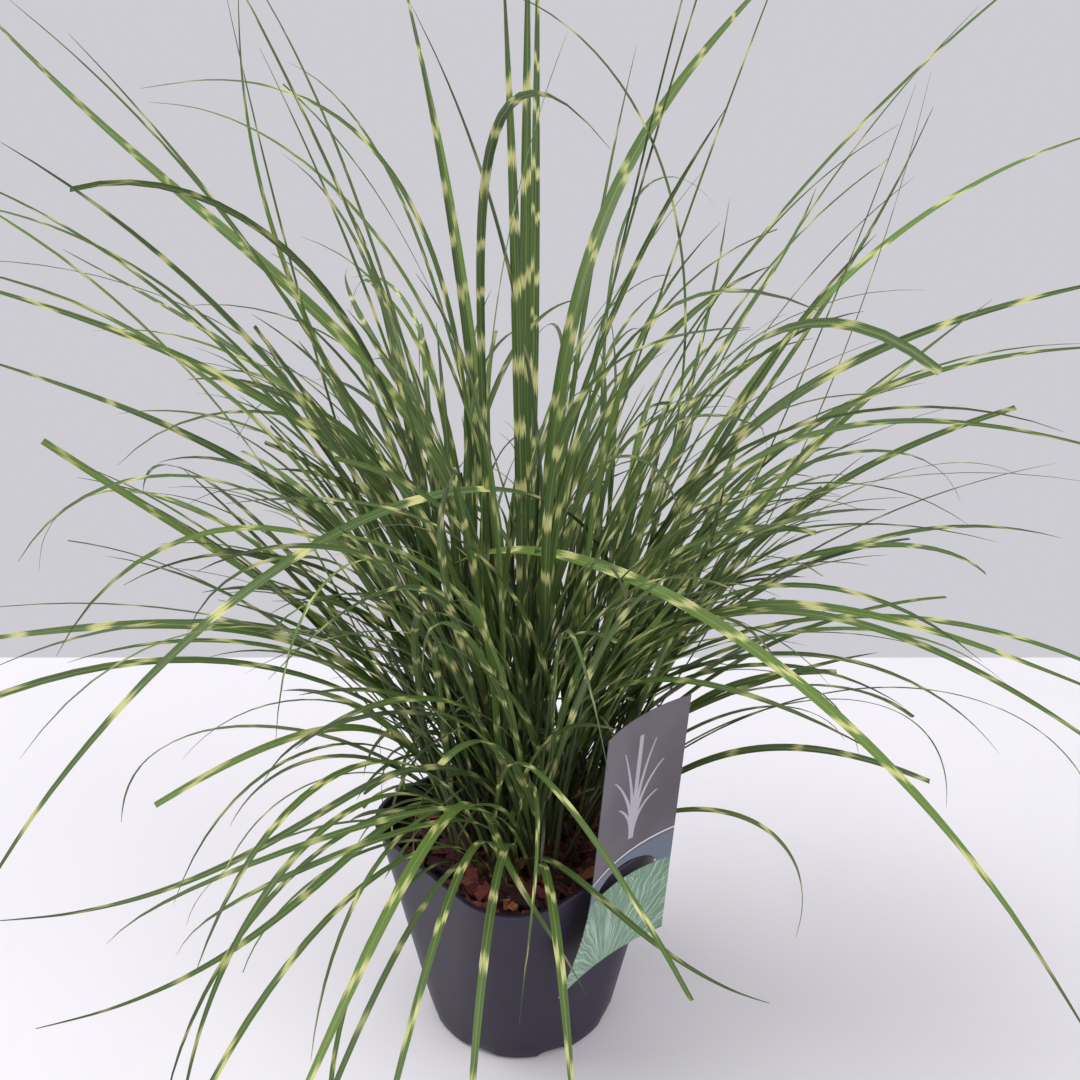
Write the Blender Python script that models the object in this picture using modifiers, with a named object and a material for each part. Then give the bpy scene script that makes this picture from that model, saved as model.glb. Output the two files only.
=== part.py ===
"""Zebra grass (miscanthus) clump in a square nursery pot, with bark mulch and a hook-on label.

Metres, +Z up. The origin is the centre of the pot's underside. The pot's sides face X and Y.
"""
import math
from typing import NamedTuple

import bmesh
import bpy
from mathutils import Matrix, Vector

# Fit
GAP = 0.0003                    # clearance between pieces that touch

# Pot
POT_TOP_SIDE = 0.180            # outside the lip, across the flats
POT_BASE_SIDE = 0.142           # the base is round: its corner radius is half this
POT_HEIGHT = 0.161
POT_TOP_RADIUS = 0.044          # corner radius of the lip
POT_WALL = 0.0015
POT_FLOOR = 0.003
LIP_OUT = 0.0018                # how far the lip stands out of the wall
LIP_DEPTH = 0.0030              # thickness of the lip, top to underside
BAND_OUT = 0.0006               # the band under the lip stands out less
BAND_DEPTH = 0.0125
FOOT_EDGE = 0.0025              # small round-off where the wall meets the base
CORNER_STEPS = 9                # points round each corner of a section

# Drainage
NOTCHES = 8                     # arches round the foot
NOTCH_WIDTH = 0.016
NOTCH_HEIGHT = 0.007
DRAIN_HOLES = 4
DRAIN_HOLE_RADIUS = 0.005
DRAIN_HOLE_REACH = 0.036

# Growing medium
ROOT_BALL_TOP = 0.128
MULCH_TOP = 0.141
CROWN_RADIUS = 0.060            # opening in the mulch for the clump
CHIP_THICKNESS = 0.005
CHIP_TAPER = 0.7                # width of a chip's thin end over its thick end

# Label
LABEL_WIDTH = 0.080
LABEL_HEIGHT = 0.182
LABEL_THICKNESS = 0.0006
LABEL_TILT = math.radians(8)    # leans to +X in its own plane
LABEL_SLANT = math.radians(10)  # its top and bottom edges rise towards +X
LABEL_LEAN = math.radians(1.5)  # top leans in over the pot
LABEL_CENTRE_X = 0.021
LABEL_CENTRE_Z = 0.183
LABEL_POINT = 0.022             # how far the lower left corner is drawn out
LABEL_POINT_RISE = 0.070        # length of edge over which it is drawn out
LABEL_CURL = 0.006              # how far the side edges bow away from the wall
LABEL_COLUMNS = 8
LABEL_ROWS = 14
SLOT_WIDTH = 0.062
SLOT_DROP = 0.009               # straight lower edge of the crescent, below the lip's top
SLOT_RISE = 0.012               # height of the crescent's round upper edge over the lower
SLOT_CENTRE_X = 0.014
SLOT_STEPS = 14
TONGUE_WIDTH = 0.026
TONGUE_DROP = 0.011
TONGUE_SPLAY = 0.004            # how far its end stands off the wall inside

# Culms
CULM_RADIUS = 0.0021
CULM_TIP_SHARE = 0.55
CULM_BEND_POWER = 1.5           # over 1: the stem leans out more towards its top
CULM_SIDES = 8
CULM_STEPS = 5

# Blades
BLADE_STEPS = 15
KEEL_SHARE = 0.13               # keel depth over blade width
SHEATH_SHARE = 0.38             # width at the foot over full width
FULL_WIDTH_AT = 0.35            # share of the length where the blade is widest
TAPER_FROM = 0.55               # share of the length where the blade starts to narrow
TAPER_POWER = 1.6               # over 1: the taper starts slowly
POINT = 0.07                    # tip width over full width on a pointed blade
CUT = 0.62                      # the same on a blade that was trimmed


class Blade(NamedTuple):
    """One arching leaf, in a vertical plane through its foot and its tip (degrees, metres)."""
    foot_azimuth: float
    foot_radius: float
    tip_azimuth: float
    reach: float                # tip's distance from the pot's axis
    height: float               # tip's height over the base
    foot_lean: float            # from vertical, where it leaves the crown
    tip_lean: float             # from vertical, at the tip: 90 is level, 180 straight down
    bow: float                  # how firmly it keeps its direction at both ends
    width: float
    turn: float                 # roll about its own length, at the tip
    end: float


BLADES = (
    # the back, tall and steep
    Blade(45, 0.030, 45, 0.31, 0.82, 30, 15, 1.4, 0.009, 0, POINT),
    Blade(15, 0.025, 15, 0.46, 0.79, 0, 65, 1.7, 0.010, -20, POINT),
    Blade(75, 0.022, 70, 0.24, 0.76, 8, 40, 1.2, 0.007, 10, POINT),
    Blade(95, 0.015, 95, 0.27, 0.73, 5, -10, 1.2, 0.005, 15, POINT),
    Blade(110, 0.020, 110, 0.47, 0.74, -5, 50, 1.6, 0.010, 40, POINT),
    Blade(124, 0.035, 124, 0.24, 0.66, 0, 100, 1.4, 0.005, 35, POINT),
    Blade(30, 0.045, 40, 0.40, 0.40, 30, 130, 1.4, 0.007, 0, POINT),
    Blade(60, 0.050, 65, 0.42, 0.30, 35, 140, 1.5, 0.007, 0, POINT),
    # the left
    Blade(105, 0.042, 103, 0.47, 0.54, 0, 75, 1.5, 0.006, 40, POINT),
    Blade(88, 0.048, 88, 0.42, 0.36, 20, 135, 1.6, 0.007, 20, POINT),
    Blade(130, 0.040, 130, 0.39, 0.50, 5, 75, 1.5, 0.007, 45, POINT),
    Blade(140, 0.015, 140, 0.36, 0.56, -5, 75, 1.4, 0.009, 45, POINT),
    Blade(145, 0.035, 145, 0.29, 0.46, 10, 50, 1.3, 0.007, 50, CUT),
    Blade(150, 0.050, 150, 0.38, 0.34, 5, 95, 1.6, 0.009, 45, POINT),
    Blade(160, 0.040, 160, 0.35, 0.18, 5, 75, 2.0, 0.006, 40, POINT),
    Blade(168, 0.052, 168, 0.25, 0.26, 5, 110, 1.8, 0.006, 40, CUT),
    # the front left
    Blade(185, 0.045, 185, 0.35, 0.22, 15, 65, 1.9, 0.0055, 30, POINT),
    Blade(198, 0.050, 195, 0.32, 0.14, 10, 170, 2.1, 0.0045, 20, POINT),
    Blade(210, 0.040, 210, 0.38, 0.20, 10, 110, 1.6, 0.007, 15, POINT),
    Blade(219, 0.052, 217, 0.37, 0.18, 20, 120, 1.6, 0.005, 10, POINT),
    Blade(226, 0.035, 224, 0.33, 0.15, 20, 165, 1.5, 0.005, 0, POINT),
    # the front right
    Blade(240, 0.050, 234, 0.30, 0.14, 20, 150, 1.5, 0.0055, 0, POINT),
    Blade(220, 0.050, 265, 0.24, 0.17, 10, 70, 1.6, 0.005, -15, POINT),
    Blade(283, 0.030, 282, 0.40, 0.33, 5, 120, 1.7, 0.006, -40, POINT),
    Blade(291, 0.042, 290, 0.38, 0.35, 5, 105, 1.8, 0.007, -40, POINT),
    # the right
    Blade(296, 0.020, 297, 0.37, 0.47, 10, 105, 1.6, 0.006, -45, POINT),
    Blade(314, 0.044, 314, 0.21, 0.06, 42, 190, 1.9, 0.005, -30, POINT),
    Blade(319, 0.046, 318, 0.30, 0.19, 35, 115, 1.4, 0.006, -45, CUT),
    Blade(323, 0.052, 323, 0.23, 0.27, 20, 95, 1.4, 0.006, -45, CUT),
    Blade(310, 0.038, 310, 0.38, 0.52, 10, 90, 1.4, 0.006, -45, POINT),
    Blade(317, 0.022, 316, 0.40, 0.56, 10, 80, 1.5, 0.009, -45, POINT),
    Blade(326, 0.047, 325, 0.34, 0.46, 15, 75, 1.3, 0.006, -45, CUT),
    Blade(332, 0.030, 332, 0.43, 0.64, 10, 80, 1.2, 0.006, -40, POINT),
    Blade(345, 0.035, 345, 0.33, 0.65, 0, 25, 1.1, 0.005, -25, POINT),
    # two long ones that cross in front of the clump
    Blade(-15, 0.042, 187, 0.38, 0.30, -35, 140, 2.3, 0.009, 20, POINT),
    Blade(125, 0.045, 268, 0.40, 0.26, -40, 140, 2.2, 0.010, -25, POINT),
)


class Culm(NamedTuple):
    """One upright stem (degrees, metres)."""
    azimuth: float
    foot_radius: float
    height: float
    lean: float


CULMS = (
    Culm(0, 0.008, 0.30, 2),
    Culm(120, 0.008, 0.31, 3),
    Culm(240, 0.008, 0.27, 3),
    Culm(5, 0.040, 0.26, 9),
    Culm(52, 0.040, 0.25, 10),
    Culm(85, 0.034, 0.27, 7),
    Culm(138, 0.055, 0.20, 10),
    Culm(157, 0.030, 0.25, 9),
    Culm(176, 0.052, 0.21, 14),
    Culm(205, 0.030, 0.22, 10),
    Culm(258, 0.048, 0.20, 12),
    Culm(300, 0.048, 0.21, 9),
)


class Chip(NamedTuple):
    """One large bark chip lying on the mulch (degrees, metres)."""
    x: float
    y: float
    yaw: float
    length: float
    width: float


CHIPS = (
    Chip(-0.066, -0.030, 70, 0.024, 0.011),
    Chip(-0.067, 0.014, 100, 0.020, 0.012),
    Chip(-0.052, -0.056, 35, 0.022, 0.010),
    Chip(-0.018, -0.068, 8, 0.026, 0.010),
    Chip(0.066, 0.030, 80, 0.022, 0.012),
    Chip(0.020, 0.068, 170, 0.024, 0.011),
)


def clear_scene():
    for old in list(bpy.data.objects):
        bpy.data.objects.remove(old, do_unlink=True)


def make_collection(name):
    collection = bpy.data.collections.new(name)
    bpy.context.scene.collection.children.link(collection)
    return collection


def material(name, colour, roughness):
    """A non-metallic Principled material."""
    made = bpy.data.materials.new(name)
    made.use_nodes = True
    shader = made.node_tree.nodes["Principled BSDF"]
    shader.inputs["Base Color"].default_value = (*colour, 1.0)
    shader.inputs["Roughness"].default_value = roughness
    shader.inputs["Metallic"].default_value = 0.0
    return made


def mesh_object(name, bm, collection):
    """Puts a bmesh in a new object, with its faces pointing out."""
    bmesh.ops.recalc_face_normals(bm, faces=bm.faces)
    mesh = bpy.data.meshes.new(name)
    bm.to_mesh(mesh)
    bm.free()
    made = bpy.data.objects.new(name, mesh)
    collection.objects.link(made)
    return made


def as_cutter(cutter):
    cutter.hide_render = True
    cutter.display_type = "WIRE"
    return cutter


def boolean(target, other, operation):
    step = target.modifiers.new(other.name, "BOOLEAN")
    step.object = other
    step.operation = operation
    step.solver = "EXACT"


def rounded_square(side, radius, z):
    """A closed ring of points round a square with round corners, counter-clockwise from +X."""
    inset = side / 2 - radius
    ring = []
    for quarter in range(4):
        corner = Matrix.Rotation(quarter * math.pi / 2, 3, "Z") @ Vector((inset, inset, z))
        for step in range(CORNER_STEPS):
            angle = (quarter + step / (CORNER_STEPS - 1)) * math.pi / 2
            ring.append(corner + radius * Vector((math.cos(angle), math.sin(angle), 0)))
    return ring


def loft(rings):
    """A closed body through rings with equal numbers of points; first and last are capped."""
    bm = bmesh.new()
    loops = [[bm.verts.new(point) for point in ring] for ring in rings]
    for lower, upper in zip(loops, loops[1:]):
        for index in range(len(lower)):
            after = (index + 1) % len(lower)
            bm.faces.new((lower[index], lower[after], upper[after], upper[index]))
    bm.faces.new(reversed(loops[0]))
    bm.faces.new(loops[-1])
    return bm


def pot_section(z, out=0.0):
    """The pot's outer section at a height: round at the base, squarer towards the top."""
    share = z / POT_HEIGHT
    wall_top_side = POT_TOP_SIDE - 2 * LIP_OUT
    side = POT_BASE_SIDE + (wall_top_side - POT_BASE_SIDE) * share
    radius = POT_BASE_SIDE / 2 + (POT_TOP_RADIUS - POT_BASE_SIDE / 2) * share
    return rounded_square(side + 2 * out, radius + out, z)


def make_pot(collection, cutters):
    """One loft that runs up the outside, over the lip and down the inside."""
    lip_under = POT_HEIGHT - LIP_DEPTH
    band_under = lip_under - BAND_DEPTH
    lip_edge = LIP_DEPTH / 4
    rings = [
        pot_section(0, -FOOT_EDGE),
        pot_section(FOOT_EDGE),
        pot_section(band_under / 2),
        pot_section(band_under),
        pot_section(band_under + BAND_OUT, BAND_OUT),
        pot_section(lip_under - LIP_OUT / 2, BAND_OUT),
        pot_section(lip_under, LIP_OUT - lip_edge),
        pot_section(lip_under + lip_edge, LIP_OUT),
        pot_section(POT_HEIGHT - lip_edge, LIP_OUT),
        pot_section(POT_HEIGHT, LIP_OUT - lip_edge),
        pot_section(POT_HEIGHT, lip_edge - POT_WALL),
        pot_section(POT_HEIGHT - lip_edge, -POT_WALL),
        pot_section(POT_HEIGHT / 2, -POT_WALL),
        pot_section(POT_FLOOR + FOOT_EDGE, -POT_WALL),
        pot_section(POT_FLOOR, -POT_WALL - FOOT_EDGE),
    ]
    pot = mesh_object("pot", loft(rings), collection)
    for index in range(NOTCHES):
        azimuth = (index + 0.5) * 2 * math.pi / NOTCHES
        reach = POT_BASE_SIDE / 2
        cutter = wedge_cutter(f"foot_notch_{index + 1}", azimuth, reach, cutters)
        boolean(pot, cutter, "DIFFERENCE")
    for index in range(DRAIN_HOLES):
        azimuth = index * 2 * math.pi / DRAIN_HOLES
        cutter = hole_cutter(f"drain_hole_{index + 1}", azimuth, cutters)
        boolean(pot, cutter, "DIFFERENCE")
    pot.data.materials.append(material("pot_plastic", (0.030, 0.027, 0.038), 0.45))


def wedge_cutter(name, azimuth, reach, cutters):
    """A low round-topped block across the foot of the wall: it leaves an arch there."""
    bm = bmesh.new()
    turn = Matrix.Rotation(azimuth, 4, "Z")
    lie = Matrix.Rotation(math.pi / 2, 4, "Y")
    flatten = Matrix.Diagonal((1, 1, 2 * NOTCH_HEIGHT / NOTCH_WIDTH, 1))
    place = turn @ Matrix.Translation((reach, 0, 0)) @ flatten @ lie
    bmesh.ops.create_cone(
        bm, cap_ends=True, segments=12, radius1=NOTCH_WIDTH / 2, radius2=NOTCH_WIDTH / 2,
        depth=6 * POT_WALL, matrix=place)
    return as_cutter(mesh_object(name, bm, cutters))


def hole_cutter(name, azimuth, cutters):
    bm = bmesh.new()
    place = Matrix.Rotation(azimuth, 4, "Z") @ Matrix.Translation((DRAIN_HOLE_REACH, 0, 0))
    bmesh.ops.create_cone(
        bm, cap_ends=True, segments=16, radius1=DRAIN_HOLE_RADIUS, radius2=DRAIN_HOLE_RADIUS,
        depth=4 * POT_FLOOR, matrix=place)
    return as_cutter(mesh_object(name, bm, cutters))


def make_root_ball(collection):
    bottom = POT_FLOOR + GAP
    rings = [
        pot_section(bottom, -POT_WALL - FOOT_EDGE - GAP),
        pot_section(bottom + FOOT_EDGE, -POT_WALL - 2 * GAP),
        pot_section(POT_HEIGHT / 2, -POT_WALL - 2 * GAP),
        pot_section(ROOT_BALL_TOP, -POT_WALL - 2 * GAP),
    ]
    ball = mesh_object("root_ball", loft(rings), collection)
    ball.data.materials.append(material("compost", (0.045, 0.028, 0.020), 0.95))


def make_mulch(collection, cutters):
    """A flat bed that fits the pot, with a round opening for the crown."""
    bottom = ROOT_BALL_TOP + GAP
    rings = [
        pot_section(bottom, -POT_WALL - 2 * GAP),
        pot_section(MULCH_TOP, -POT_WALL - 2 * GAP),
    ]
    bed = mesh_object("bark_mulch", loft(rings), collection)
    bm = bmesh.new()
    middle = Matrix.Translation((0, 0, (bottom + MULCH_TOP) / 2))
    bmesh.ops.create_cone(
        bm, cap_ends=True, segments=32, radius1=CROWN_RADIUS, radius2=CROWN_RADIUS,
        depth=2 * (MULCH_TOP - bottom), matrix=middle)
    boolean(bed, as_cutter(mesh_object("crown_opening", bm, cutters)), "DIFFERENCE")
    bed.data.materials.append(material("bark_bed", (0.120, 0.045, 0.028), 0.9))


def make_chip(index, chip, collection):
    """A bevelled slab of bark, thinner at one end, flat on the mulch."""
    bm = bmesh.new()
    bmesh.ops.create_cube(bm, size=1)
    bmesh.ops.scale(bm, vec=(chip.length, chip.width, CHIP_THICKNESS), verts=bm.verts)
    for vert in bm.verts:
        if vert.co.z > 0 and vert.co.x > 0:
            vert.co.z -= CHIP_THICKNESS / 2
            vert.co.y *= CHIP_TAPER
    bmesh.ops.bevel(
        bm, geom=bm.edges[:], offset=CHIP_THICKNESS / 6, segments=1, profile=0.5,
        affect="EDGES", material=-1)
    lift = MULCH_TOP + GAP + CHIP_THICKNESS / 2
    place = Matrix.Translation((chip.x, chip.y, lift)) @ Matrix.Rotation(math.radians(chip.yaw), 4, "Z")
    bmesh.ops.transform(bm, matrix=place, verts=bm.verts)
    made = mesh_object(f"bark_chip_{index}", bm, collection)
    made.data.materials.append(material(f"bark_{index}", (0.170, 0.062, 0.036), 0.85))


def label_plane():
    """Places label points (across, out of the wall, up) in the world."""
    wall = POT_TOP_SIDE / 2 + GAP + LABEL_THICKNESS
    lift = Matrix.Translation((0, -wall, POT_HEIGHT))
    return lift @ Matrix.Rotation(-LABEL_LEAN, 4, "X")


def label_sheet():
    """The curled sheet with its tilted outline, before its slot is cut."""
    bm = bmesh.new()
    bmesh.ops.create_grid(bm, x_segments=LABEL_COLUMNS, y_segments=LABEL_ROWS, size=0.5)
    upright = Matrix.Rotation(math.pi / 2, 4, "X")
    tilt = Matrix.Rotation(LABEL_TILT, 4, "Y")
    size = Matrix.Diagonal((LABEL_WIDTH, 1, LABEL_HEIGHT, 1))
    middle = Matrix.Translation((LABEL_CENTRE_X, 0, LABEL_CENTRE_Z - POT_HEIGHT))
    bmesh.ops.transform(bm, matrix=size @ upright, verts=bm.verts)
    for vert in bm.verts:
        across = vert.co.x / LABEL_WIDTH
        above_foot = vert.co.z + LABEL_HEIGHT / 2
        drawn = max(0.0, 1 - above_foot / LABEL_POINT_RISE) ** 2
        vert.co.y -= LABEL_CURL * (2 * across) ** 2
        vert.co.z += vert.co.x * math.tan(LABEL_SLANT)
        vert.co.x -= LABEL_POINT * drawn * (0.5 - across)
    bmesh.ops.transform(bm, matrix=label_plane() @ middle @ tilt, verts=bm.verts)
    return bm


def crescent_cutter(cutters):
    """A prism with a straight lower edge and a round upper one, through the label at the lip."""
    front = POT_TOP_SIDE / 2 + 4 * LABEL_CURL
    back = POT_TOP_SIDE / 2 + GAP / 2
    rings = []
    for y in (-front, -back):
        ring = []
        for step in range(SLOT_STEPS + 1):
            angle = math.pi * step / SLOT_STEPS
            across = SLOT_CENTRE_X + SLOT_WIDTH / 2 * math.cos(angle)
            ring.append(Vector((across, y, POT_HEIGHT - SLOT_DROP + SLOT_RISE * math.sin(angle))))
        rings.append(ring)
    return as_cutter(mesh_object("label_slot", loft(rings), cutters))


def make_tongue(collection):
    """The flap inside the slot: over the lip and a little way down inside the wall."""
    inside = POT_TOP_SIDE / 2 - LIP_OUT - POT_WALL
    over = POT_HEIGHT - SLOT_DROP + SLOT_RISE + LABEL_THICKNESS
    outside = POT_TOP_SIDE / 2 + GAP + LABEL_THICKNESS
    profile = (
        (-outside, over),
        (-outside + LIP_DEPTH / 2, over + LABEL_THICKNESS),
        (-inside + LIP_DEPTH / 3, over),
        (-inside + LIP_DEPTH, over - LIP_DEPTH),
        (-inside + TONGUE_SPLAY, POT_HEIGHT - TONGUE_DROP),
    )
    bm = bmesh.new()
    left = [bm.verts.new((SLOT_CENTRE_X - TONGUE_WIDTH / 2, y, z)) for y, z in profile]
    sides = [bm.edges.new(pair) for pair in zip(left, left[1:])]
    swept = bmesh.ops.extrude_edge_only(bm, edges=sides)
    moved = [item for item in swept["geom"] if isinstance(item, bmesh.types.BMVert)]
    bmesh.ops.translate(bm, vec=(TONGUE_WIDTH, 0, 0), verts=moved)
    tongue = mesh_object("label_tongue", bm, collection)
    thick = tongue.modifiers.new("thickness", "SOLIDIFY")
    thick.thickness = LABEL_THICKNESS
    thick.offset = 0
    return tongue


def make_label(collection, cutters):
    label = mesh_object("plant_label", label_sheet(), collection)
    thick = label.modifiers.new("thickness", "SOLIDIFY")
    thick.thickness = LABEL_THICKNESS
    thick.offset = 0
    boolean(label, crescent_cutter(cutters), "DIFFERENCE")
    boolean(label, as_cutter(make_tongue(cutters)), "UNION")
    label.data.materials.append(material("label_plastic", (0.28, 0.28, 0.34), 0.35))


def polar(azimuth, radius, z):
    angle = math.radians(azimuth)
    return Vector((radius * math.cos(angle), radius * math.sin(angle), z))


def lean_direction(heading, lean):
    """A unit vector that leans from vertical towards a level heading."""
    angle = math.radians(lean)
    return heading * math.sin(angle) + Vector((0, 0, math.cos(angle)))


def width_share(share, end):
    """Blade width along its length: a narrow sheath, the full blade, then the taper."""
    if share < FULL_WIDTH_AT:
        rise = math.sin(share / FULL_WIDTH_AT * math.pi / 2)
        return SHEATH_SHARE + (1 - SHEATH_SHARE) * rise
    if share < TAPER_FROM:
        return 1.0
    fall = (share - TAPER_FROM) / (1 - TAPER_FROM)
    return 1 - (1 - end) * fall ** TAPER_POWER


def blade_sections(blade):
    """Triangular sections (two edges and the keel) along the arch from foot to tip."""
    foot = polar(blade.foot_azimuth, blade.foot_radius, ROOT_BALL_TOP + GAP)
    tip = polar(blade.tip_azimuth, blade.reach, blade.height)
    chord = tip - foot
    heading = Vector((chord.x, chord.y, 0)).normalized()
    side = Vector((-heading.y, heading.x, 0))
    firm = chord.length * blade.bow
    start = lean_direction(heading, blade.foot_lean) * firm
    finish = lean_direction(heading, blade.tip_lean) * firm
    sections = []
    for step in range(BLADE_STEPS + 1):
        t = step / BLADE_STEPS
        centre = (
            foot * (2 * t ** 3 - 3 * t ** 2 + 1) + start * (t ** 3 - 2 * t ** 2 + t)
            + tip * (3 * t ** 2 - 2 * t ** 3) + finish * (t ** 3 - t ** 2))
        tangent = (
            (foot - tip) * (6 * t ** 2 - 6 * t) + start * (3 * t ** 2 - 4 * t + 1)
            + finish * (3 * t ** 2 - 2 * t)).normalized()
        roll = Matrix.Rotation(math.radians(-blade.turn) * t, 3, tangent)
        across = roll @ side
        down = across.cross(tangent)
        half = blade.width * width_share(t, blade.end) / 2
        sections.append([
            centre - across * half,
            centre + down * half * 2 * KEEL_SHARE,
            centre + across * half,
        ])
    return sections


def make_blade(index, blade, collection):
    made = mesh_object(f"blade_{index:02d}", loft(blade_sections(blade)), collection)
    made.data.materials.append(material(f"leaf_{index:02d}", (0.090, 0.190, 0.050), 0.5))


def make_culm(index, culm, collection):
    """A slim stem that leans a little further out as it rises."""
    rings = []
    outward = polar(culm.azimuth, 1, 0)
    foot = polar(culm.azimuth, culm.foot_radius, ROOT_BALL_TOP + GAP)
    drift = math.tan(math.radians(culm.lean)) * culm.height
    for step in range(CULM_STEPS + 1):
        share = step / CULM_STEPS
        centre = foot + outward * drift * share ** CULM_BEND_POWER + Vector((0, 0, culm.height * share))
        radius = CULM_RADIUS * (1 - (1 - CULM_TIP_SHARE) * share)
        rings.append([
            centre + polar(360 * corner / CULM_SIDES, radius, 0) for corner in range(CULM_SIDES)])
    made = mesh_object(f"culm_{index:02d}", loft(rings), collection)
    made.data.materials.append(material(f"stem_{index:02d}", (0.160, 0.230, 0.070), 0.5))


def main():
    clear_scene()
    parts = make_collection("potted_zebra_grass")
    cutters = make_collection("cutters")
    make_pot(parts, cutters)
    make_root_ball(parts)
    make_mulch(parts, cutters)
    for index, chip in enumerate(CHIPS, start=1):
        make_chip(index, chip, parts)
    make_label(parts, cutters)
    for index, culm in enumerate(CULMS, start=1):
        make_culm(index, culm, parts)
    for index, blade in enumerate(BLADES, start=1):
        make_blade(index, blade, parts)


main()
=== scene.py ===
# %% [markdown]
# # A clump of zebra grass in a nursery pot
#
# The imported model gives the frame: a square-topped pot, its root ball and mulch, a hook-on
# label, a dozen culms and the large arching blades. This lesson dresses that frame. Each large
# blade and culm is rebuilt finer along the line that the frame gives, and hundreds of lesser
# blades are grown between them by a simple rule for how grass bends.

import math
import random
from typing import NamedTuple

import bmesh
import bpy
import numpy as np
from mathutils import Matrix, Vector, noise


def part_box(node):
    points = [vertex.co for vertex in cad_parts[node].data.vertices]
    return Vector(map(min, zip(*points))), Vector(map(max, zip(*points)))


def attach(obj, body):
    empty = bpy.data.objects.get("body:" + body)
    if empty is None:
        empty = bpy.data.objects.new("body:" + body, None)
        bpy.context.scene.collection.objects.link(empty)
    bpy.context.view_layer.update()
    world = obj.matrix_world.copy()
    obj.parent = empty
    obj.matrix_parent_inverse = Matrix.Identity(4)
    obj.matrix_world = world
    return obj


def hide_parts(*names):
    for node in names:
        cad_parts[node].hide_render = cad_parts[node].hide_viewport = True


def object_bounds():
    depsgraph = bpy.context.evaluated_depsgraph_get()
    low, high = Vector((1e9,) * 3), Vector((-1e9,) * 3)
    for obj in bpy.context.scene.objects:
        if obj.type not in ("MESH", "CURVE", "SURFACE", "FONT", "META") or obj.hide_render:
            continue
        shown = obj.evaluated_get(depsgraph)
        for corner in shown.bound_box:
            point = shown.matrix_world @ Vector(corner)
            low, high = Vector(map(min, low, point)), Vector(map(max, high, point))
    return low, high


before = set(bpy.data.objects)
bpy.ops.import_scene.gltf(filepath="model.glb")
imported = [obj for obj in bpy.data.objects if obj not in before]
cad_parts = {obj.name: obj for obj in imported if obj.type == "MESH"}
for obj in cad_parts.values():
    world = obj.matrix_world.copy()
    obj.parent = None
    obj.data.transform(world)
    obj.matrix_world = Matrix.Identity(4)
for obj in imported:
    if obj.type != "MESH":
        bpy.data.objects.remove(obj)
cad_box = [list(corner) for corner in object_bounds()]

# %% [markdown]
# ## Where things are
#
# The sizes below are read from the frame, so nothing has to be fitted afterwards. The pot's box
# gives the lip's height and width, the mulch gives the level that the stems rise from, and the
# root ball gives the level that the mulch lies on.

# %% Sizes read from the frame
BODY = "root"
MM = 0.001
pot_low, pot_high = (Vector(corner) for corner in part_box("pot"))
RIM = pot_high.z
RIM_SIDE = pot_high.x - pot_low.x
MULCH = Vector(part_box("bark_mulch")[1]).z
BALL_TOP = Vector(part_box("root_ball")[1]).z
print(f"rim at {RIM:.3f} m, {RIM_SIDE:.3f} m across, mulch at {MULCH:.3f} m")

# %% [markdown]
# ## The table, the light and the camera
#
# A plant is lit best by a large soft light: the blades are glossy, and a small lamp would fill
# the picture with white flecks. The sky dome does most of the work here, a wide panel from the
# upper left gives the blades a light and a dark side, and a weaker one lifts the shadows. The
# camera stands level with the upper blades and looks down across one corner of the pot.

# %% Table
CAMERA_AZIMUTH = math.radians(-42.5)
TABLE_BEHIND = 0.565
TABLE_FRONT = 1.6
TABLE_HALF_WIDTH = 1.7


def new_object(name, bm):
    """Moves a bmesh into a new object that sits at the origin."""
    mesh = bpy.data.meshes.new(name)
    bm.to_mesh(mesh)
    bm.free()
    made = bpy.data.objects.new(name, mesh)
    bpy.context.scene.collection.objects.link(made)
    return made


def view_turn():
    """Turns what is made facing -Y so that it faces the camera."""
    return Matrix.Rotation(CAMERA_AZIMUTH, 4, "Z")


bm = bmesh.new()
bmesh.ops.create_grid(bm, x_segments=1, y_segments=1, size=1)
depth = (TABLE_FRONT + TABLE_BEHIND) / 2
bmesh.ops.scale(bm, vec=(TABLE_HALF_WIDTH, depth, 1), verts=bm.verts)
bmesh.ops.translate(bm, vec=(0, TABLE_BEHIND - depth, 0), verts=bm.verts)
bmesh.ops.transform(bm, matrix=view_turn(), verts=bm.verts)
table = new_object("table", bm)
print("table", [round(size, 2) for size in table.dimensions])

# %% Camera
CAMERA_BACK = 0.671
CAMERA_ASIDE = 0.0145
CAMERA_UP = 0.641
CAMERA_PITCH = math.radians(21.2)
CAMERA_LENS = 36.0
CAMERA_SENSOR = 36.0

camera_data = bpy.data.cameras.new("camera")
camera_data.lens = CAMERA_LENS
camera_data.sensor_width = CAMERA_SENSOR
camera = bpy.data.objects.new("camera", camera_data)
stand = Vector((CAMERA_ASIDE, -CAMERA_BACK, CAMERA_UP))
aim = Matrix.Rotation(math.pi / 2 - CAMERA_PITCH, 4, "X")
camera.matrix_world = view_turn() @ Matrix.Translation(stand) @ aim
bpy.context.scene.collection.objects.link(camera)
bpy.context.scene.camera = camera
print("camera at", [round(value, 3) for value in camera.matrix_world.translation])

# %% Light
SKY_COLOUR = (0.615, 0.605, 0.645, 1.0)
SKY_STRENGTH = 1.0

world = bpy.data.worlds.new("studio")
world.use_nodes = True
backdrop = world.node_tree.nodes["Background"]
backdrop.inputs["Color"].default_value = SKY_COLOUR
backdrop.inputs["Strength"].default_value = SKY_STRENGTH
bpy.context.scene.world = world
bpy.context.scene.view_settings.view_transform = "Standard"


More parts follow.
